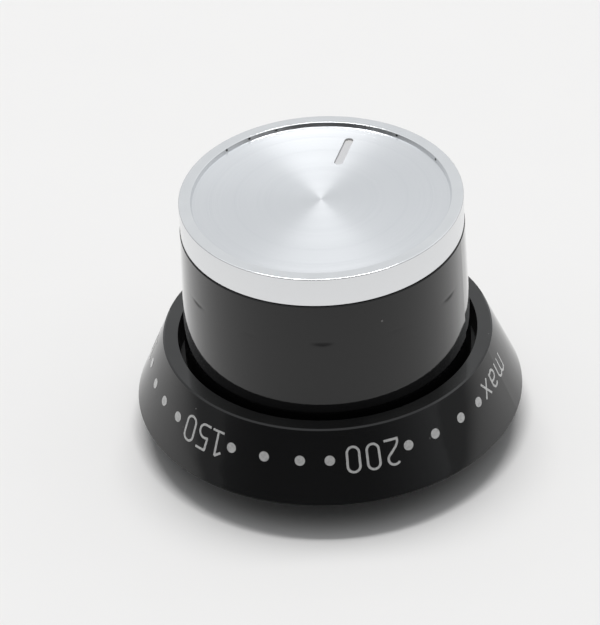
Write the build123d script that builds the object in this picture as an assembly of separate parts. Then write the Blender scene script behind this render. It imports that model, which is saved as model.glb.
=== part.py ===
"""Oven temperature knob for a 6 mm shaft with a flat.

A black grip cup carries a spun disc under a bright trim ring, and snaps into a conical dial skirt. The knob
stands on its hub, which reaches below the skirt's rim. Z is its axis, the hub's foot is at zero, and the
pointer lies along +Y. Heights are measured from the rim, and the finished pieces are lifted to stand.
"""
import os
from math import atan, cos, degrees, radians, tan

from build123d import *

# Dial skirt
skirt_rim_diameter = 60.85
skirt_land_width = 2.25
skirt_height = 11.3
skirt_wall = 1.6
skirt_rim_chamfer = 0.3
skirt_land_chamfer = 0.2
well_gap = 1.55
seat_height = 6.0
seat_thickness = 2.0
seat_opening_diameter = 36.0
skirt_core_width = 0.8
skirt_rib_count = 12
skirt_rib_thickness = 1.2
skirt_rib_foot = 1.4
skirt_rib_reach = 4.0

# Grip body
grip_top_diameter = 43.8
grip_shoulder_height = 31.5
grip_draft = 1.45
grip_wall = 2.0
grip_shoulder_chamfer = 0.15
spigot_height = 3.5
deck_thickness = 2.2
deck_rib_count = 12
deck_rib_thickness = 1.0
deck_rib_depth = 7.8

# Hub and shaft socket
hub_diameter = 12.0
hub_reach = 5.5
socket_diameter = 6.1
socket_across_flat = 4.65
socket_depth = 22.0
lead_in_clearance = 0.25
lead_in_depth = 6.0
lead_in_chamfer = 0.5
hub_slit_width = 1.2
hub_slit_depth = 14.0

# Snap hooks between grip and skirt
hook_count = 4
hook_width = 6.0
hook_thickness = 1.4
hook_barb = 0.7
hook_barb_height = 1.6
hook_root_height = 6.0
hook_clearance = 0.15

# Spring band
spring_thickness = 0.5
spring_height = 5.0
spring_offset = 7.0
spring_groove_depth = 0.4
spring_opening_angle = 70.0
spring_clearance = 0.05

# Trim ring and cap disc
ring_setback = 0.1
ring_wall = 1.35
ring_gap = 0.3
ring_lip_height = 0.65
ring_lip_width = 1.8
ring_lip_flare = 21.0
ring_edge_chamfer = 0.25
ring_clearance = 0.05
bead_depth = 0.3
bead_height = 0.9
bead_offset = 1.6
disc_thickness = 0.9
disc_clearance = 0.05
pointer_start = 9.5
pointer_end = 16.9
pointer_width = 1.4
pointer_depth = 0.35

# Sizes that follow from the ones above
well_diameter = grip_top_diameter + 2 * well_gap
skirt_land_diameter = well_diameter + 2 * skirt_land_width
skirt_slope = degrees(atan((skirt_rim_diameter - skirt_land_diameter) / 2 / skirt_height))
skirt_wall_across = skirt_wall / cos(radians(skirt_slope))
seat_underside = seat_height - seat_thickness
deck_height = grip_shoulder_height + spigot_height
disc_top = deck_height + disc_thickness
ring_top = disc_top + ring_lip_height
ring_foot = grip_shoulder_height + ring_gap
ring_diameter = grip_top_diameter - 2 * ring_setback
ring_bore_radius = ring_diameter / 2 - ring_wall
spigot_diameter = 2 * (ring_bore_radius - ring_clearance)
bead_middle = ring_foot + bead_offset
hook_inner = seat_opening_diameter / 2 + hook_clearance
hook_outer = hook_inner + hook_thickness
hub_foot = -hub_reach
lead_in_diameter = socket_diameter + 2 * lead_in_clearance
spring_foot = hub_foot + spring_offset
spring_groove_floor = hub_diameter / 2 - spring_groove_depth


def grip_radius(height):
    """Radius of the grip's tapered outside at a height."""
    return grip_top_diameter / 2 + tan(radians(grip_draft)) * (grip_shoulder_height - height)


def skirt_radius(height):
    """Radius of the skirt's conical outside at a height."""
    return skirt_rim_diameter / 2 - tan(radians(skirt_slope)) * height


def turned(points):
    """Solid of revolution about Z from a closed outline of (radius, height) points."""
    outline = Plane.XZ * make_face(Polyline(*points, close=True))
    return revolve(outline, Axis.Z)


def circle_edges(solid, radius, height):
    """Circular edges of a solid at one radius and height, for a chamfer."""
    def matches(edge):
        on_circle = edge.geom_type == GeomType.CIRCLE and abs(edge.radius - radius) < 1e-3
        return on_circle and abs(edge.center().Z - height) < 1e-3
    return solid.edges().filter_by(matches)


def spaced(shape, count, first_angle):
    """Copies of a shape, evenly spaced about Z, the first turned by first_angle."""
    return [Rot(0, 0, first_angle + 360 / count * step) * shape for step in range(count)]


def radial_plate(points, thickness):
    """Plate that stands on the XZ plane: an outline of (radius, height) points, thickened both ways."""
    outline = Plane.XZ * make_face(Polyline(*points, close=True))
    return extrude(outline, thickness / 2, both=True)


def make_dial_skirt():
    """Cone with a flat land, a well for the grip and a seat ring with notches for the hooks."""
    well_radius = well_diameter / 2
    well_outside = well_radius + skirt_wall
    core_width_at_rim = skirt_radius(0) - skirt_wall_across - well_outside
    core_top = (core_width_at_rim - skirt_core_width) / tan(radians(skirt_slope))

    def cone_inside(height):
        return skirt_radius(height) - skirt_wall_across

    skirt = turned([
        (skirt_radius(0), 0),
        (skirt_land_diameter / 2, skirt_height),
        (well_radius, skirt_height),
        (well_radius, seat_height),
        (seat_opening_diameter / 2, seat_height),
        (seat_opening_diameter / 2, seat_underside),
        (well_outside, seat_underside),
        (well_outside, core_top),
        (cone_inside(core_top), core_top),
        (cone_inside(0), 0),
    ])
    skirt = chamfer(circle_edges(skirt, skirt_radius(0), 0), skirt_rim_chamfer)
    skirt = chamfer(circle_edges(skirt, skirt_land_diameter / 2, skirt_height), skirt_land_chamfer)

    root = skirt_wall / 2
    rib = radial_plate([
        (well_outside - skirt_rib_reach, seat_underside),
        (well_outside - skirt_rib_reach, seat_underside + root),
        (well_outside - root, seat_underside + root),
        (well_outside - root, core_top + root),
        (cone_inside(core_top) + root, core_top + root),
        (cone_inside(skirt_rib_foot) + root, skirt_rib_foot),
        (cone_inside(skirt_rib_foot), skirt_rib_foot),
    ], skirt_rib_thickness)
    skirt += spaced(rib, skirt_rib_count, 180 / skirt_rib_count)

    notch_depth = hook_thickness + 2 * hook_clearance
    notch = Pos(seat_opening_diameter / 2, 0, seat_height) * Box(
        2 * notch_depth, hook_width + 2 * hook_clearance, 3 * seat_thickness)
    return skirt - spaced(notch, hook_count, 0)


def make_grip_body():
    """Tapered cup with a spigot for the ring, a ribbed deck, a split hub and snap hooks."""
    spigot_radius = spigot_diameter / 2
    neck_inside = spigot_radius - grip_wall
    deck_underside = deck_height - deck_thickness
    neck_foot = grip_shoulder_height - grip_wall
    wall_top_inside = grip_radius(neck_foot) - grip_wall
    groove_floor = ring_bore_radius - bead_depth - ring_clearance
    groove_half = bead_height / 2 + ring_clearance
    grip = turned([
        (0, deck_height),
        (spigot_radius, deck_height),
        (spigot_radius, bead_middle + groove_half),
        (groove_floor, bead_middle + groove_half - bead_depth),
        (groove_floor, bead_middle - groove_half + bead_depth),
        (spigot_radius, bead_middle - groove_half),
        (spigot_radius, grip_shoulder_height),
        (grip_radius(grip_shoulder_height), grip_shoulder_height),
        (grip_radius(seat_height), seat_height),
        (grip_radius(seat_height) - grip_wall, seat_height),
        (wall_top_inside, neck_foot),
        (neck_inside, neck_foot),
        (neck_inside, deck_underside),
        (0, deck_underside),
    ])
    shoulder = circle_edges(grip, grip_radius(grip_shoulder_height), grip_shoulder_height)
    grip = chamfer(shoulder, grip_shoulder_chamfer)

    hub_height = deck_underside - hub_foot
    grip += Pos(0, 0, hub_foot) * Cylinder(
        hub_diameter / 2, hub_height + deck_thickness / 2, align=(Align.CENTER, Align.CENTER, Align.MIN))

    rib_start = (hub_diameter + socket_diameter) / 4
    rib_foot = deck_underside - deck_rib_depth
    rib_end = grip_radius(rib_foot) - grip_wall / 2
    rib = radial_plate([
        (rib_start, rib_foot),
        (rib_end, rib_foot),
        (rib_end, neck_foot + grip_wall / 2),
        (spigot_radius - grip_wall / 2, neck_foot + grip_wall / 2),
        (spigot_radius - grip_wall / 2, deck_underside + deck_thickness / 2),
        (rib_start, deck_underside + deck_thickness / 2),
    ], deck_rib_thickness)
    grip += spaced(rib, deck_rib_count, 180 / deck_rib_count)

    barb_top = seat_underside - hook_clearance
    barb_foot = barb_top - hook_barb_height
    hook_root = seat_height + hook_root_height
    hook = radial_plate([
        (hook_inner, barb_foot),
        (hook_outer, barb_foot),
        (hook_outer + hook_barb, barb_top),
        (hook_outer, barb_top),
        (hook_outer, seat_height),
        (grip_radius(seat_height) - grip_wall / 2, seat_height),
        (grip_radius(hook_root) - grip_wall / 2, hook_root + hook_thickness),
        (hook_inner, hook_root),
    ], hook_width)
    grip += spaced(hook, hook_count, 0)
    return grip - make_socket()


def make_socket():
    """Cutter for the hub: a round lead-in, the D-shaped socket, the slit and the spring's groove."""
    mouth_up = (Align.CENTER, Align.CENTER, Align.MIN)
    socket_radius = socket_diameter / 2
    flat = socket_across_flat - socket_radius
    lead_in_radius = lead_in_diameter / 2
    lead_in = Pos(0, 0, hub_foot) * Cylinder(lead_in_radius, lead_in_depth, align=mouth_up)
    mouth = Pos(0, 0, hub_foot) * Cone(
        lead_in_radius + lead_in_chamfer, lead_in_radius, lead_in_chamfer, align=mouth_up)
    socket = Pos(0, 0, hub_foot) * Cylinder(socket_radius, socket_depth, align=mouth_up)
    socket -= Pos(0, flat, hub_foot) * Box(
        socket_diameter, socket_diameter, socket_depth, align=(Align.CENTER, Align.MIN, Align.MIN))
    slit = Pos(0, 0, hub_foot) * Box(
        hub_slit_width, hub_diameter, hub_slit_depth, align=(Align.CENTER, Align.MAX, Align.MIN))
    groove_height = spring_height + 2 * spring_clearance
    groove = Cylinder(hub_diameter / 2 + spring_thickness, groove_height, align=mouth_up)
    groove -= Cylinder(spring_groove_floor, groove_height, align=mouth_up)
    return socket + lead_in + mouth + slit + Pos(0, 0, spring_foot) * groove


def make_shaft_spring():
    """Open band of spring steel in the hub's groove, its gap over the slit."""
    middle = spring_groove_floor + spring_clearance + spring_thickness / 2
    turn = 360 - spring_opening_angle
    path = CenterArc((0, 0), middle, -90 + spring_opening_angle / 2, turn)
    band = offset(path, spring_thickness / 2)
    return Pos(0, 0, spring_foot + spring_clearance) * extrude(make_face(band), spring_height)


def make_trim_ring():
    """Bright ring: a plain wall, a flat lip over the disc's edge and a snap bead inside."""
    outer = ring_diameter / 2
    lip_inner = outer - ring_lip_width
    lip_inner_foot = lip_inner - ring_lip_height * tan(radians(ring_lip_flare))
    ring = turned([
        (ring_bore_radius, ring_foot),
        (outer, ring_foot),
        (outer, ring_top),
        (lip_inner, ring_top),
        (lip_inner_foot, disc_top),
        (ring_bore_radius, disc_top),
        (ring_bore_radius, bead_middle + bead_height / 2),
        (ring_bore_radius - bead_depth, bead_middle + bead_height / 2 - bead_depth),
        (ring_bore_radius - bead_depth, bead_middle - bead_height / 2 + bead_depth),
        (ring_bore_radius, bead_middle - bead_height / 2),
    ])
    return chamfer(circle_edges(ring, outer, ring_top), ring_edge_chamfer)


def make_cap_disc():
    """Flat disc held under the ring's lip, with a round-ended slot sunk in it for the pointer."""
    disc = Pos(0, 0, deck_height) * Cylinder(
        spigot_diameter / 2 - disc_clearance, disc_thickness, align=(Align.CENTER, Align.CENTER, Align.MIN))
    slot_length = pointer_end - pointer_start
    slot_centre = (pointer_start + pointer_end) / 2
    slot = Pos(0, slot_centre, disc_top) * SlotOverall(slot_length, pointer_width, rotation=90)
    return disc - extrude(slot, -pointer_depth)


parts = {
    "dial_skirt": make_dial_skirt(),
    "grip_body": make_grip_body(),
    "shaft_spring": make_shaft_spring(),
    "cap_disc": make_cap_disc(),
    "trim_ring": make_trim_ring(),
}

os.makedirs("parts", exist_ok=True)
for name, solid in parts.items():
    export_step(Pos(0, 0, hub_reach) * solid, f"parts/{name}.step")
    size = solid.bounding_box().size
    print(f"{name}: volume {solid.volume:.1f} mm3, size {size.X:.2f} x {size.Y:.2f} x {size.Z:.2f} mm")
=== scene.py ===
"""Oven temperature knob: the finish of its five pieces, the printed scale and the studio round it.

Lengths are in metres. Z is the knob's axis, with the hub's foot at zero, and the pointer lies along +Y.
"""
from math import atan2, cos, pi, radians, sin

import bpy
import numpy as np
from mathutils import Matrix, Vector


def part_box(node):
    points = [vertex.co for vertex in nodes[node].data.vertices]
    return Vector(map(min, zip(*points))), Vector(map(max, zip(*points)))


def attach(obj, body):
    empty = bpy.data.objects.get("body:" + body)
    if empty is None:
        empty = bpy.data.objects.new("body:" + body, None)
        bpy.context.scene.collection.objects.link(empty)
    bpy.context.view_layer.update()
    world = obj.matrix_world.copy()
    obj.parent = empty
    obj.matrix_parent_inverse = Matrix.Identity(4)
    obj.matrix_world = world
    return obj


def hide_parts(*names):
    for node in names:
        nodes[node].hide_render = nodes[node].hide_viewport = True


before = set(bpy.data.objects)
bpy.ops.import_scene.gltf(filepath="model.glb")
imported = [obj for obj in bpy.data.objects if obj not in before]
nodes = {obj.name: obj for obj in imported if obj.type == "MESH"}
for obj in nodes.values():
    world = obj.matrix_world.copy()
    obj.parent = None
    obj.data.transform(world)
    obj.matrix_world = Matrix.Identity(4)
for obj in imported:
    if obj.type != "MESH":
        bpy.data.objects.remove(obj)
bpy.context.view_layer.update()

# The dial skirt is a cone moulded in gloss black plastic, with a flat land round the grip.
# It came out of a polished tool, so it mirrors, with a faint orange peel and a few specks of dust.
# The well round the grip is matt, and a thin film of dust lies on the land and in the well.
skirt_low, skirt_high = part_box("dial_skirt")
land_height = skirt_high.z
land_skin = 0.00002
land_film_thin = 0.025
land_film_thick = 0.05
film_scale = 140.0
well_radius = 0.02345
well_margin = 0.0001
well_polish_depth = 0.0003
well_matt = 0.45
well_film = 0.04
skirt_black = (0.0055, 0.0055, 0.0058, 1.0)
skirt_ior = 1.57
skirt_dust = 0.5
dust_grey = (0.30, 0.30, 0.29, 1.0)
dust_matt = 0.5
gloss_clear = 0.045
gloss_hazy = 0.085
haze_scale = 90.0
peel_depth = 0.00002
peel_scale = 180.0
speck_scale = 420.0
speck_reach = 0.09
speck_patch_scale = 150.0


def place(tree, kind, inputs=None, **settings):
    """Add a shader node. Settings are its options, and inputs its sockets: each a value or a link."""
    node = tree.nodes.new(kind)
    for name, value in settings.items():
        setattr(node, name, value)
    for name, value in (inputs or {}).items():
        if isinstance(value, bpy.types.NodeSocket):
            tree.links.new(value, node.inputs[name])
        else:
            node.inputs[name].default_value = value
    return node


def math(tree, operation, *values):
    """Result of a Math node on one, two or three values or sockets."""
    return place(tree, "ShaderNodeMath", dict(enumerate(values)), operation=operation).outputs[0]


def measure(tree, operation, *vectors):
    """Number that a Vector Math node gives for one or two vectors, such as a length or a dot product."""
    return place(tree, "ShaderNodeVectorMath", dict(enumerate(vectors)), operation=operation).outputs["Value"]


def ramp(tree, value, start, end, low=0.0, high=1.0):
    """Value eased from low at start to high at end, and held outside that stretch."""
    inputs = {"Value": value, "From Min": start, "From Max": end, "To Min": low, "To Max": high}
    return place(tree, "ShaderNodeMapRange", inputs, interpolation_type="SMOOTHSTEP").outputs["Result"]


def blend(tree, share, first, second):
    """Colour between the first and the second, by the share of the second."""
    inputs = {"Factor": share, "A": first, "B": second}
    return place(tree, "ShaderNodeMix", inputs, data_type="RGBA").outputs["Result"]


def noise(tree, at, scale, detail):
    """Level of a noise texture at a point."""
    return place(tree, "ShaderNodeTexNoise", {"Vector": at, "Scale": scale, "Detail": detail}).outputs["Fac"]


def object_at(tree):
    """Object coordinates of the shaded point."""
    return place(tree, "ShaderNodeTexCoord").outputs["Object"]


def from_axis(tree, at):
    """Height of a point, and its distance from the knob's axis, which is the length of its X and Y."""
    axes = place(tree, "ShaderNodeSeparateXYZ", {"Vector": at}).outputs
    flat = place(tree, "ShaderNodeCombineXYZ", {"X": axes["X"], "Y": axes["Y"]}).outputs["Vector"]
    return axes["Z"], measure(tree, "LENGTH", flat)


def new_material(name, **sockets):
    """Material with one Principled shader. Sockets are its constant inputs, with _ for a space."""
    material = bpy.data.materials.new(name)
    material.use_nodes = True
    shader = material.node_tree.nodes["Principled BSDF"]
    for socket, value in sockets.items():
        shader.inputs[socket.replace("_", " ")].default_value = value
    return material, material.node_tree, shader


def dress(piece, material):
    """Give a piece one material, in place of any that it came with."""
    piece.data.materials.clear()
    piece.data.materials.append(material)


moulded = bpy.data.node_groups.new("moulded_gloss", "ShaderNodeTree")
moulded.interface.new_socket("Dust amount", in_out="INPUT", socket_type="NodeSocketFloat")
for output in ("Dust", "Roughness", "Peel"):
    moulded.interface.new_socket(output, in_out="OUTPUT", socket_type="NodeSocketFloat")
moulded_in = place(moulded, "NodeGroupInput")
moulded_out = place(moulded, "NodeGroupOutput")
moulded_at = object_at(moulded)
speck_cells = place(moulded, "ShaderNodeTexVoronoi", {"Vector": moulded_at, "Scale": speck_scale})
speck_draw = place(moulded, "ShaderNodeSeparateColor", {"Color": speck_cells.outputs["Color"]}).outputs["Red"]
speck_size = math(moulded, "MULTIPLY", speck_draw, speck_reach)
speck = math(moulded, "LESS_THAN", speck_cells.outputs["Distance"], speck_size)
speck_patch = ramp(moulded, noise(moulded, moulded_at, speck_patch_scale, 1.0), 0.62, 0.70)
speck_here = math(moulded, "MULTIPLY", speck, speck_patch)
dust = math(moulded, "MULTIPLY", speck_here, moulded_in.outputs["Dust amount"])
gloss = ramp(moulded, noise(moulded, moulded_at, haze_scale, 4.0), 0.35, 0.75, gloss_clear, gloss_hazy)
moulded.links.new(dust, moulded_out.inputs["Dust"])
moulded.links.new(math(moulded, "MULTIPLY_ADD", dust, dust_matt, gloss), moulded_out.inputs["Roughness"])
moulded.links.new(noise(moulded, moulded_at, peel_scale, 1.0), moulded_out.inputs["Peel"])


def black_plastic(name, ior, dust_amount):
    """Gloss black material, its tree and shader, and what feeds its colour, roughness and normal."""
    material, tree, shader = new_material(name, IOR=ior)
    surface = place(tree, "ShaderNodeGroup", {"Dust amount": dust_amount}, node_tree=moulded).outputs
    bump = place(tree, "ShaderNodeBump", {"Height": surface["Peel"], "Distance": peel_depth, "Strength": 1.0})
    made = {
        "Base Color": blend(tree, surface["Dust"], skirt_black, dust_grey),
        "Roughness": surface["Roughness"],
        "Normal": bump.outputs["Normal"],
    }
    for socket, value in made.items():
        tree.links.new(value, shader.inputs[socket])
    return material, tree, shader, made


skirt_gloss, skirt_tree, skirt_shader, skirt_made = black_plastic("skirt_gloss", skirt_ior, skirt_dust)
skirt_at = object_at(skirt_tree)
skirt_height, skirt_radius = from_axis(skirt_tree, skirt_at)
inside_well = math(skirt_tree, "LESS_THAN", skirt_radius, well_radius + well_margin)
below_polish = math(skirt_tree, "LESS_THAN", skirt_height, land_height - well_polish_depth)
in_well = math(skirt_tree, "MULTIPLY", inside_well, below_polish)
skirt_rough = math(skirt_tree, "MULTIPLY_ADD", in_well, well_matt, skirt_made["Roughness"])
on_land = math(skirt_tree, "GREATER_THAN", skirt_height, land_height - land_skin)
film_noise = noise(skirt_tree, skirt_at, film_scale, 3.0)
film_drift = ramp(skirt_tree, film_noise, 0.3, 0.7, land_film_thin, land_film_thick)
land_film = math(skirt_tree, "MULTIPLY", on_land, film_drift)
skirt_film = math(skirt_tree, "MULTIPLY_ADD", in_well, well_film, land_film)
skirt_colour = blend(skirt_tree, skirt_film, skirt_made["Base Color"], dust_grey)
skirt_tree.links.new(skirt_rough, skirt_shader.inputs["Roughness"])
skirt_tree.links.new(skirt_colour, skirt_shader.inputs["Base Color"])
dress(nodes["dial_skirt"], skirt_gloss)

# The temperature scale is pad printed on the cone in one coat of light grey ink, a hundredth of a
# millimetre thick. Its figures stand with their heads to the rim. Four dots lie between one and the next,
# but none beside the 0.
land_radius = 0.0257
rim_radius = 0.030425
ink_lift = 0.00001
ink_thickness = 0.00001
ink_taper = 0.00004
ink_thin_grey = (0.46, 0.46, 0.46, 1)
ink_full_grey = (0.62, 0.62, 0.61, 1)
ink_thin_matt = 0.22
ink_full_matt = 0.14
ink_grain_scale = 2600.0
scale_slant = 0.00508
scale_tilt = 0.0005
tilt_azimuth = radians(197.7)
figure_height = 0.00438
figure_width = 0.00228
letter_height = 0.0031
stroke_width = 0.00038
arch = 0.00074
dot_diameter = 0.0016
dot_drop = 0.00022
figure_azimuths = np.radians([90.0, 125.4, 183.7, 241.5, 299.7, 356.4])
dot_azimuths = np.radians([
    138.7, 150.3, 161.6, 171.3, 197.7, 208.9, 218.8, 228.5,
    253.1, 264.7, 276.4, 285.9, 311.8, 321.9, 333.2, 342.9])
slant_angle = atan2(rim_radius - land_radius, land_height - skirt_low.z)


def on_cone(azimuth, along, up, lift):
    """Points on the skirt: along is the reading direction, up points to the rim, lift is off the surface.

    The azimuth falls by along / radius, and the slant distance from the land is the scale's own, plus up.
    """
    slant = scale_slant + scale_tilt * np.cos(azimuth - tilt_azimuth) + up
    middle = land_radius + scale_slant * sin(slant_angle)
    turn = azimuth - along / middle
    radius = land_radius + slant * sin(slant_angle) + lift * cos(slant_angle)
    height = land_height - slant * cos(slant_angle) + lift * sin(slant_angle)
    return np.stack([radius * np.cos(turn), radius * np.sin(turn), height], axis=-1)


def grid_mesh(name, sheets):
    """One object from closed tubes of points, each an array of rows x columns x 3, capped at both ends."""
    points, faces, base = [], [], 0
    for sheet in sheets:
        rows, columns = sheet.shape[:2]
        index = base + np.arange(rows * columns).reshape(rows, columns)
        after = np.roll(index, -1, axis=1)
        quads = np.stack([index[:-1], after[:-1], after[1:], index[1:]], axis=-1).reshape(-1, 4)
        faces += quads.tolist() + [index[0, ::-1].tolist(), index[-1].tolist()]
        points.append(sheet.reshape(-1, 3))
        base += rows * columns
    mesh = bpy.data.meshes.new(name)
    mesh.from_pydata(np.concatenate(points).tolist(), [], faces)
    piece = bpy.data.objects.new(name, mesh)
    bpy.context.collection.objects.link(piece)
    return piece


def stroke(azimuth, path):
    """Ribbon of ink along a path: a flat trapezoid carried along it, square to the path at each point.

    A point of the profile sits at path + offset x normal. The normal is the tangent turned a quarter left.
    """
    tangent = np.gradient(path, axis=0)
    tangent /= np.linalg.norm(tangent, axis=1, keepdims=True)
    normal = np.column_stack([-tangent[:, 1], tangent[:, 0]])
    half = stroke_width / 2
    offsets = np.array([-half, -half + ink_taper, half - ink_taper, half])
    lifts = ink_lift + ink_thickness * np.array([0.0, 1.0, 1.0, 0.0])
    flat = path[:, None, :] + offsets[None, :, None] * normal[:, None, :]
    return on_cone(azimuth, flat[..., 0], flat[..., 1], np.broadcast_to(lifts, flat.shape[:2]))


def dot(azimuth):
    """Round spot of ink: rings of radius and lift about its centre, from the foot of its edge to its top."""
    radii = dot_diameter / 2 - np.array([0.0, ink_taper])
    lifts = ink_lift + np.array([0.0, ink_thickness])
    turns = np.linspace(0, 2 * pi, 40, endpoint=False)
    along = np.outer(radii, np.cos(turns))
    up = np.outer(radii, np.sin(turns))
    return on_cone(azimuth, along, up - dot_drop, np.broadcast_to(lifts[:, None], along.shape))


def arc(x, y, radius, start, end, steps=24):
    """Points of an arc about (x, y), with the angles in degrees."""
    angles = np.radians(np.linspace(start, end, steps))
    return np.column_stack([x + radius * np.cos(angles), y + radius * np.sin(angles)])


def straight(*points, steps=12):
    """Points spread along a chain of straight runs, with the corners kept."""
    runs = [np.linspace(a, b, steps) for a, b in zip(points[:-1], points[1:])]
    return np.concatenate([runs[0]] + [run[1:] for run in runs[1:]])


half_width = (figure_width - stroke_width) / 2
half_height = (figure_height - stroke_width) / 2
bowl_middle = half_height - half_width
letter_foot = -half_height
letter_top = letter_foot + letter_height - stroke_width
figures = {
    "0": [np.concatenate([
        arc(0, bowl_middle, half_width, 0, 180),
        arc(0, -bowl_middle, half_width, 180, 360),
        [[half_width, bowl_middle]]])],
    "1": [
        straight((-0.00088, half_height - 0.0008), (0.00015, half_height)),
        straight((0.00015, half_height), (0.00015, -half_height)),
        straight((-0.00095, -half_height), (0.00125, -half_height))],
    "2": [
        np.concatenate([
            arc(-0.00015, half_height - 0.00095, 0.00095, 140, -35),
            straight((0.00055, 0.00042), (-0.00072, -0.00085))]),
        np.concatenate([arc(0.00022, -0.00178, 0.00126, 132, 184), [[-0.00104, -half_height]]]),
        straight((-0.00120, -half_height), (0.00115, -half_height))],
    "5": [
        straight((0.0011, half_height), (-0.00075, half_height)),
        straight((-0.00068, half_height), (-0.00082, -0.00002)),
        np.concatenate([
            straight((-0.00095, -0.00002), (-0.00035, 0.00010)),
            arc(-0.00012, -0.00095, 0.00106, 92, -90),
            straight((-0.00035, -half_height), (-0.00118, -half_height))])],
    "m": [
        straight((-2 * arch, letter_foot), (-2 * arch, letter_top)),
        np.concatenate([arc(-arch, letter_top - arch, arch, 180, 0), [[0, letter_foot]]]),
        np.concatenate([arc(arch, letter_top - arch, arch, 180, 0), [[2 * arch, letter_foot]]])],
    "a": [
        np.concatenate([
            arc(-0.00002, letter_top - 0.0008, 0.0008, 150, 0),
            straight((0.00078, letter_top - 0.0008), (0.00080, letter_foot))]),
        np.concatenate([
            straight((0.00078, letter_top - 0.00118), (-0.0001, letter_top - 0.00118)),
            arc(-0.00012, letter_foot + 0.00075, 0.00075, 90, 270),
            straight((-0.0001, letter_foot), (0.00078, letter_foot + 0.00035))])],
    "x": [
        straight((-0.00095, letter_top), (0.00095, letter_foot)),
        straight((0.00095, letter_top), (-0.00095, letter_foot))],
}
figure_pitch = {"0": 0.0031, "1": 0.0028, "2": 0.0030, "5": 0.0029, "m": 0.0041, "a": 0.0029, "x": 0.0029}


def word(azimuth, text):
    """Strokes of a word centred on an azimuth, each letter set by its own pitch."""
    pitches = [figure_pitch[letter] for letter in text]
    starts = np.cumsum([0.0] + pitches[:-1]) + np.array(pitches) / 2 - sum(pitches) / 2
    return [
        stroke(azimuth, path + [start, 0])
        for letter, start in zip(text, starts)
        for path in figures[letter]]


words = ["0", "50", "100", "150", "200", "max"]
figure_sheets = [sheet for azimuth, text in zip(figure_azimuths, words) for sheet in word(azimuth, text)]
dot_sheets = [dot(azimuth) for azimuth in dot_azimuths]

ink, ink_tree, ink_shader = new_material("scale_ink", IOR=1.45)
ink_grain = noise(ink_tree, object_at(ink_tree), ink_grain_scale, 3.0)
ink_colour = blend(ink_tree, ramp(ink_tree, ink_grain, 0.25, 0.6), ink_thin_grey, ink_full_grey)
ink_rough = ramp(ink_tree, ink_grain, 0.3, 0.7, ink_thin_matt, ink_full_matt)
ink_tree.links.new(ink_colour, ink_shader.inputs["Base Color"])
ink_tree.links.new(ink_rough, ink_shader.inputs["Roughness"])
for name, sheets in (("scale_figures", figure_sheets), ("scale_dots", dot_sheets)):
    print_piece = grid_mesh(name, sheets)
    dress(print_piece, ink)
    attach(print_piece, "root")

# The spring is an open band of spring steel that squeezes the split hub on to the shaft.
# It was rolled from strip, so its grain runs round the hub.
strip_dark = (0.30, 0.30, 0.31, 1)
strip_bright = (0.52, 0.52, 0.53, 1)
strip_smooth = 0.22
strip_rough = 0.38
strip_stretch = (1.0, 1.0, 30.0)
strip_scale = 300.0
spring_steel, spring_tree, spring_shader = new_material("spring_strip", Metallic=1.0)
spring_at = object_at(spring_tree)
spring_along = place(spring_tree, "ShaderNodeMapping", {"Vector": spring_at, "Scale": strip_stretch})
spring_grain = noise(spring_tree, spring_along.outputs["Vector"], strip_scale, 4.0)
spring_colour = blend(spring_tree, spring_grain, strip_dark, strip_bright)
spring_rough = ramp(spring_tree, spring_grain, 0.3, 0.7, strip_smooth, strip_rough)
spring_tree.links.new(spring_colour, spring_shader.inputs["Base Color"])
spring_tree.links.new(spring_rough, spring_shader.inputs["Roughness"])
dress(nodes["shaft_spring"], spring_steel)

# The grip is a cup moulded in the same black plastic under a thin clear lacquer, with twelve ribs inside.
# They shrank as it cooled, and each left a shallow sink mark outside, every second one stronger.
grip_ior = 1.31
grip_dust = 0.4
lacquer_roughness = 0.06
grip_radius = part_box("grip_body")[1].x
sink_count = 12
sink_height = skirt_low.z + 0.0247
sink_depth = 0.00006
sink_half_width = 0.0017
sink_half_height = 0.0004
sink_bend = 40.0
sink_strength = 0.65
sink_change = -0.35
grip_gloss, grip_tree, grip_shader, grip_made = black_plastic("grip_gloss", grip_ior, grip_dust)
grip_at = place(grip_tree, "ShaderNodeSeparateXYZ", {"Vector": object_at(grip_tree)}).outputs
grip_turn = math(grip_tree, "ARCTAN2", grip_at["Y"], grip_at["X"])
sink_turn = math(grip_tree, "WRAP", grip_turn, 2 * pi / sink_count, 0.0)
sink_off = math(grip_tree, "SUBTRACT", sink_turn, pi / sink_count)
sink_across = math(grip_tree, "MULTIPLY", sink_off, grip_radius)
sink_bow = math(grip_tree, "MULTIPLY", math(grip_tree, "MULTIPLY", sink_across, sink_across), sink_bend)
sink_up = math(grip_tree, "SUBTRACT", math(grip_tree, "SUBTRACT", grip_at["Z"], sink_height), sink_bow)
sink_x = math(grip_tree, "DIVIDE", sink_across, sink_half_width)
sink_z = math(grip_tree, "DIVIDE", sink_up, sink_half_height)
sink_x_squared = math(grip_tree, "MULTIPLY", sink_x, sink_x)
sink_z_squared = math(grip_tree, "MULTIPLY", sink_z, sink_z)
sink_reach = math(grip_tree, "ADD", sink_x_squared, sink_z_squared)
sink_wave = math(grip_tree, "SINE", math(grip_tree, "MULTIPLY", grip_turn, sink_count / 2))
sink_thick = math(grip_tree, "MULTIPLY_ADD", sink_wave, sink_change, sink_strength)
sink_fall = math(grip_tree, "EXPONENT", math(grip_tree, "MULTIPLY", sink_reach, -1.0))
sink_shape = math(grip_tree, "MULTIPLY", sink_fall, sink_thick)
sink_inputs = {"Height": sink_shape, "Distance": sink_depth, "Strength": 1.0, "Normal": grip_made["Normal"]}
sink_bump = place(grip_tree, "ShaderNodeBump", sink_inputs, invert=True)
grip_tree.links.new(sink_bump.outputs["Normal"], grip_shader.inputs["Normal"])
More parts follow.
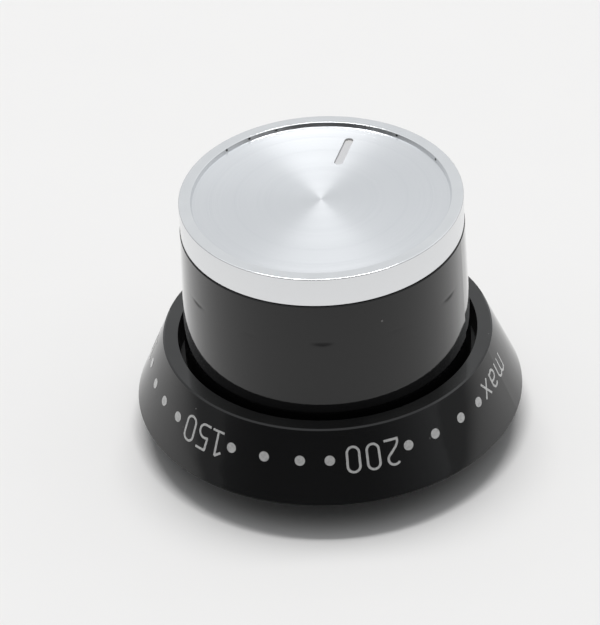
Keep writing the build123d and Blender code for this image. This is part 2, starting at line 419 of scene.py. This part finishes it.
grip_tree.links.new(ramp(grip_tree, sink_shape, 0.1, 0.9, 1.0, 0.0), grip_shader.inputs["Coat Weight"])
grip_shader.inputs["Coat IOR"].default_value = grip_ior
grip_shader.inputs["Coat Roughness"].default_value = lacquer_roughness
dress(nodes["grip_body"], grip_gloss)

# The cap disc is aluminium sheet, spun so that its grain runs in fine circles, with a clear anodised finish.
# The pointer is a slot pressed into it, with a matt floor. It lies on the grip's deck under the ring's lip.
disc_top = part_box("cap_disc")[1].z
disc_shade = (0.71, 0.725, 0.75, 1)
disc_bright = (0.79, 0.80, 0.815, 1)
disc_smooth = 0.222
disc_rough = 0.251
disc_ring_scale = 4200.0
disc_ring_share = 0.6
disc_band_scale = 420.0
disc_band_share = 0.4
disc_grain_depth = 0.0000006
dish_curve = 1.9
slot_floor_depth = 0.00008
slot_fade_start = 0.0155
slot_fade_end = 0.0168
slot_grey = (0.58, 0.58, 0.59, 1)
slot_end_grey = (0.60, 0.59, 0.58, 1)
slot_matt = 0.3


def circles(tree, radius, scale, share):
    """Share of a noise that changes with the radius alone, so that it runs in circles."""
    inputs = {"W": radius, "Scale": scale, "Detail": 3.0}
    rings = place(tree, "ShaderNodeTexNoise", inputs, noise_dimensions="1D")
    return math(tree, "MULTIPLY", rings.outputs["Fac"], share)


disc_metal, disc_tree, disc_shader = new_material("spun_disc", Anisotropic=0.82, Anisotropic_Rotation=0.25)
disc_height, disc_radius = from_axis(disc_tree, object_at(disc_tree))
disc_rings = circles(disc_tree, disc_radius, disc_ring_scale, disc_ring_share)
disc_bands = circles(disc_tree, disc_radius, disc_band_scale, disc_band_share)
disc_grain = math(disc_tree, "ADD", disc_rings, disc_bands)
in_slot = math(disc_tree, "LESS_THAN", disc_height, disc_top - slot_floor_depth)
disc_colour = blend(disc_tree, disc_grain, disc_shade, disc_bright)
slot_end = ramp(disc_tree, disc_radius, slot_fade_start, slot_fade_end)
slot_colour = blend(disc_tree, slot_end, slot_grey, slot_end_grey)
face_colour = blend(disc_tree, in_slot, disc_colour, slot_colour)
face_rough = ramp(disc_tree, disc_grain, 0.3, 0.7, disc_smooth, disc_rough)
disc_round = place(disc_tree, "ShaderNodeTangent", direction_type="RADIAL", axis="Z")
disc_dish = math(disc_tree, "MULTIPLY", math(disc_tree, "MULTIPLY", disc_radius, disc_radius), dish_curve)
disc_dished = place(disc_tree, "ShaderNodeBump", {"Height": disc_dish, "Distance": 1.0, "Strength": 1.0})
disc_bump = place(disc_tree, "ShaderNodeBump", {
    "Height": disc_grain, "Distance": disc_grain_depth, "Strength": 1.0,
    "Normal": disc_dished.outputs["Normal"]})
disc_tree.links.new(face_colour, disc_shader.inputs["Base Color"])
disc_tree.links.new(math(disc_tree, "SUBTRACT", 1.0, in_slot), disc_shader.inputs["Metallic"])
disc_tree.links.new(
    math(disc_tree, "MULTIPLY_ADD", in_slot, slot_matt, face_rough), disc_shader.inputs["Roughness"])
disc_tree.links.new(disc_round.outputs["Tangent"], disc_shader.inputs["Tangent"])
disc_tree.links.new(disc_bump.outputs["Normal"], disc_shader.inputs["Normal"])
dress(nodes["cap_disc"], disc_metal)

# The trim ring is moulded plastic with a satin chrome plating, and snaps over the grip's spigot.
# Its flat lip holds the disc down. The plating has a soft gloss and a fine, uneven tone, its edges are round,
# and a few specks of dirt sit in the corner between lip and disc.
ring_low, ring_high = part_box("trim_ring")
ring_outer = ring_high.x
ring_top = ring_high.z
ring_foot = ring_low.z
ring_foot_reach = 0.0001
ring_bore = 0.02045
lip_inner = ring_outer - 0.0018
lip_foot = lip_inner - 0.00025
bead_middle = ring_foot + 0.0016
bead_depth = 0.0003
bead_half = 0.00045
foot_round = 0.00006
top_round = 0.00015
lip_round = 0.0001
inner_round = 0.00003
bore_round = 0.00005
edge_support = 0.00003
ring_columns = 192
chrome_shade = (0.765, 0.775, 0.79, 1)
chrome_bright = (0.80, 0.81, 0.82, 1)
chrome_smooth = 0.12
chrome_rough = 0.18
mottle_scale = 350.0
tooth_scale = 3000.0
tooth_depth = 0.000004
dirt_dark = (0.05, 0.05, 0.05, 1)
dirt_size = 0.00026
dirt_turns = np.radians([152.9, 139.7, 126.1, 69.1, 42.7])
dirt_radius = lip_inner - 0.0001
dirt_height = disc_top + 0.0004


def rounded(corners, steps=8):
    """Closed outline from rows of (x, y, radius): each corner becomes an arc that meets both of its sides.

    The arc runs between the points at radius / tan(half the corner's angle) from the corner, about a centre
    on the corner's bisector, and one point more on each side keeps the flat between two arcs flat.
    """
    corners = np.array(corners)
    runs = []
    for before, here, after in zip(np.roll(corners, 1, axis=0), corners, np.roll(corners, -1, axis=0)):
        back = (before - here)[:2] / np.linalg.norm((before - here)[:2])
        on = (after - here)[:2] / np.linalg.norm((after - here)[:2])
        half = np.arccos(back @ on) / 2
        reach = here[2] / np.tan(half)
        middle = here[:2] + (back + on) / np.linalg.norm(back + on) * here[2] / np.sin(half)
        sweep = pi - 2 * half
        share = np.linspace(0, 1, steps)[:, None]
        first = here[:2] + back * reach - middle
        last = here[:2] + on * reach - middle
        turn = middle + (np.sin((1 - share) * sweep) * first + np.sin(share * sweep) * last) / np.sin(sweep)
        ends = here[:2] + np.array([back, on]) * (reach + edge_support)
        runs += [ends[:1], turn, ends[1:]]
    return np.concatenate(runs)


ring_outline = rounded([
    (ring_outer, ring_foot - ring_foot_reach, foot_round),
    (ring_outer, ring_top, top_round),
    (lip_inner, ring_top, lip_round),
    (lip_foot, disc_top, inner_round),
    (ring_bore, disc_top, inner_round),
    (ring_bore, bead_middle + bead_half, inner_round),
    (ring_bore - bead_depth, bead_middle + bead_half - bead_depth, inner_round),
    (ring_bore - bead_depth, bead_middle - bead_half + bead_depth, inner_round),
    (ring_bore, bead_middle - bead_half, inner_round),
    (ring_bore, ring_foot - ring_foot_reach, bore_round),
])
ring_turns = np.linspace(0, 2 * pi, ring_columns, endpoint=False)
ring_points = np.stack([
    np.outer(ring_outline[:, 0], np.cos(ring_turns)),
    np.outer(ring_outline[:, 0], np.sin(ring_turns)),
    np.outer(ring_outline[:, 1], np.ones(ring_columns))], axis=-1)
ring_index = np.arange(ring_points[..., 0].size).reshape(ring_points.shape[:2])
ring_next = np.roll(ring_index, -1, axis=0)
ring_faces = np.stack([
    ring_index, np.roll(ring_index, -1, axis=1), np.roll(ring_next, -1, axis=1), ring_next], axis=-1)
ring_mesh = bpy.data.meshes.new("trim_ring_rounded")
ring_mesh.from_pydata(ring_points.reshape(-1, 3).tolist(), [], ring_faces.reshape(-1, 4).tolist())
ring_mesh.shade_smooth()
trim_ring = bpy.data.objects.new("trim_ring_rounded", ring_mesh)
bpy.context.collection.objects.link(trim_ring)

ring_chrome, ring_tree, ring_shader = new_material("satin_chrome", Metallic=1.0)
ring_at = object_at(ring_tree)
ring_mottle = noise(ring_tree, ring_at, mottle_scale, 4.0)
ring_tooth = noise(ring_tree, ring_at, tooth_scale, 2.0)
dirt_near = 1.0
for turn in dirt_turns:
    dirt_at = (dirt_radius * cos(turn), dirt_radius * sin(turn), dirt_height)
    dirt_near = math(ring_tree, "MINIMUM", dirt_near, measure(ring_tree, "DISTANCE", ring_at, dirt_at))
ring_dirt = ramp(ring_tree, dirt_near, dirt_size / 2, dirt_size, 1.0, 0.0)
ring_clean = blend(ring_tree, ring_mottle, chrome_shade, chrome_bright)
ring_colour = blend(ring_tree, ring_dirt, ring_clean, dirt_dark)
ring_rough = ramp(ring_tree, ring_mottle, 0.3, 0.7, chrome_smooth, chrome_rough)
ring_bump = place(ring_tree, "ShaderNodeBump", {
    "Height": ring_tooth, "Distance": tooth_depth, "Strength": 1.0})
ring_tree.links.new(ring_colour, ring_shader.inputs["Base Color"])
ring_tree.links.new(ring_rough, ring_shader.inputs["Roughness"])
ring_tree.links.new(ring_bump.outputs["Normal"], ring_shader.inputs["Normal"])
dress(trim_ring, ring_chrome)
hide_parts("trim_ring")
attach(trim_ring, "root")

# The studio is a pale paper table under one long lamp, nearly overhead and a little behind the knob.
# A bright wall, a pale ceiling, two soft panels and a pale band round the room show in the gloss. The room is
# dark towards the viewer, which keeps the front of the black plastic black.
view_turn = radians(17.7)
view_elevation = radians(36.57)
view_roll = radians(-3.14)
view_distance = 0.6254
view_left = 0.004283
view_raise = 0.002394
lens_pixels = 4000
image_height_pixels = 625
floor_half = 3.0
floor_drop = 0.00001
paper_shade = (0.845, 0.836, 0.828, 1)
paper_bright = (0.86, 0.851, 0.843, 1)
# Painted shade: the grey that the paper shows in reflections far from the knob.
paper_painted_reflection_shade = (0.22, 0.22, 0.22, 1)
paper_fade_start = 0.06
paper_fade_end = 0.2
paper_scale = 60.0
lamp_distance = 6.0
lamp_elevation = radians(75.6)
lamp_size = (3.75, 1.3)
lamp_power = 246.0
sky_tint = (0.965, 0.985, 1.0, 1.0)
wall_turn = radians(-14)
wall_dim = 0.08
wall_bright = 0.83
wall_soft_share = 0.3
ceiling_bright = 0.75
band_bright = 0.62
right_panel_axis = (0.42, 0.45, 0.79)
right_panel_bright = 0.4
left_panel_axis = (-0.38, 0.30, 0.87)
left_panel_bright = 0.6
viewer_axis = (-0.134, -0.957, 0.259)
overhead_soft = 0.53
right_fill = 0.13
left_fill = 0.09

turned = Matrix.Rotation(view_turn, 4, "Z")
away = turned @ Vector((0, 1, 0))
level_right = turned @ Vector((1, 0, 0))

floor_mesh = bpy.data.meshes.new("floor")
corners = floor_half * np.array([[-1, -1], [1, -1], [1, 1], [-1, 1]])
floor_mesh.from_pydata(np.column_stack([corners, np.full(4, -floor_drop)]).tolist(), [], [(0, 1, 2, 3)])
floor = bpy.data.objects.new("floor", floor_mesh)
bpy.context.collection.objects.link(floor)
paper, paper_tree, paper_shader = new_material("table_paper", Roughness=0.7, Specular_IOR_Level=0.1)
paper_at = object_at(paper_tree)
paper_colour = blend(paper_tree, noise(paper_tree, paper_at, paper_scale, 3.0), paper_shade, paper_bright)
# Painted shade in reflections: seen in gloss only, the paper darkens to a dark grey from 6 to 20 cm off the
# knob's axis.
paper_far = ramp(paper_tree, measure(paper_tree, "LENGTH", paper_at), paper_fade_start, paper_fade_end)
paper_rays = place(paper_tree, "ShaderNodeLightPath")
paper_reflection_shade_share = math(paper_tree, "MULTIPLY", paper_far, paper_rays.outputs["Is Glossy Ray"])
paper_seen = blend(paper_tree, paper_reflection_shade_share, paper_colour, paper_painted_reflection_shade)
paper_tree.links.new(paper_seen, paper_shader.inputs["Base Color"])
dress(floor, paper)

lamp = bpy.data.objects.new("back_lamp", bpy.data.lights.new("back_lamp", "AREA"))
lamp.data.shape = "RECTANGLE"
lamp.data.size, lamp.data.size_y = lamp_size
lamp.data.energy = lamp_power
lamp_aim = away * cos(lamp_elevation) + Vector((0, 0, sin(lamp_elevation)))
lamp.location = lamp_aim * lamp_distance
lamp.rotation_euler = lamp_aim.to_track_quat("Z", "Y").to_euler()
bpy.context.collection.objects.link(lamp)

world = bpy.data.worlds.new("studio")
world.use_nodes = True
sky = world.node_tree
sky_at = place(sky, "ShaderNodeTexCoord").outputs["Generated"]
sky_up = place(sky, "ShaderNodeSeparateXYZ", {"Vector": sky_at}).outputs["Z"]
sky_back = measure(sky, "DOT_PRODUCT", sky_at, Matrix.Rotation(wall_turn, 4, "Z") @ away)
sky_right = measure(sky, "DOT_PRODUCT", sky_at, level_right)


def sky_panel(axis, inner, outer):
    """Soft round panel in the sky: 1 within the inner angle from its axis, and 0 beyond the outer one."""
    facing = measure(sky, "DOT_PRODUCT", sky_at, turned @ Vector(axis).normalized())
    return ramp(sky, facing, cos(radians(outer)), cos(radians(inner)))


wall = ramp(sky, sky_back, -0.95, 0.75, wall_dim, wall_bright)
ceiling = ramp(sky, sky_up, 0.24, 0.7, 0.0, ceiling_bright)
right_panel = math(sky, "MULTIPLY", sky_panel(right_panel_axis, 21, 29), right_panel_bright)
left_panel = math(sky, "MULTIPLY", sky_panel(left_panel_axis, 12, 17), left_panel_bright)
overhead = math(sky, "ADD", ceiling, math(sky, "ADD", right_panel, left_panel))
band = ramp(sky, sky_up, 0.09, 0.19, 0.0, band_bright)
beside_viewer = ramp(sky, sky_panel(viewer_axis, 29, 38), 0.0, 1.0, 1.0, 0.0)
side_band = math(sky, "MULTIPLY", band, beside_viewer)
seen_level = math(sky, "MAXIMUM", math(sky, "MAXIMUM", wall, side_band), overhead)
from_right = ramp(sky, sky_right, 0.3, 0.9, 0.0, right_fill)
from_left = ramp(sky, sky_right, -0.3, -0.9, 0.0, left_fill)
from_top = ramp(sky, sky_up, 0.5, 0.95, 0.0, overhead_soft)
soft_fill = math(sky, "ADD", from_top, math(sky, "ADD", from_right, from_left))
soft_level = math(sky, "MULTIPLY_ADD", wall, wall_soft_share, soft_fill)
rays = place(sky, "ShaderNodeLightPath").outputs
bent_ray = math(sky, "ADD", rays["Is Glossy Ray"], rays["Is Transmission Ray"])
straight_ray = math(sky, "ADD", rays["Is Camera Ray"], bent_ray)
level = place(sky, "ShaderNodeMix", {
    "Factor": straight_ray, "A": soft_level, "B": seen_level}, data_type="FLOAT")
background = sky.nodes["Background"]
background.inputs["Color"].default_value = sky_tint
sky.links.new(level.outputs["Result"], background.inputs["Strength"])
bpy.context.scene.world = world

camera = bpy.data.objects.new("camera", bpy.data.cameras.new("camera"))
camera.data.sensor_width = 36.0
camera.data.lens = lens_pixels * camera.data.sensor_width / image_height_pixels
ahead = turned @ Vector((0, cos(view_elevation), -sin(view_elevation)))
level_up = level_right.cross(ahead)
camera_right = level_right * cos(view_roll) + level_up * sin(view_roll)
camera_up = level_up * cos(view_roll) - level_right * sin(view_roll)
camera_axes = Matrix((camera_right, camera_up, -ahead)).transposed().to_4x4()
camera_aside = camera_up * view_raise - camera_right * view_left
camera_at = Vector((0, 0, land_height)) - ahead * view_distance + camera_aside
camera.matrix_world = Matrix.Translation(camera_at) @ camera_axes
bpy.context.collection.objects.link(camera)
bpy.context.scene.camera = camera
bpy.context.scene.view_settings.view_transform = "Standard"
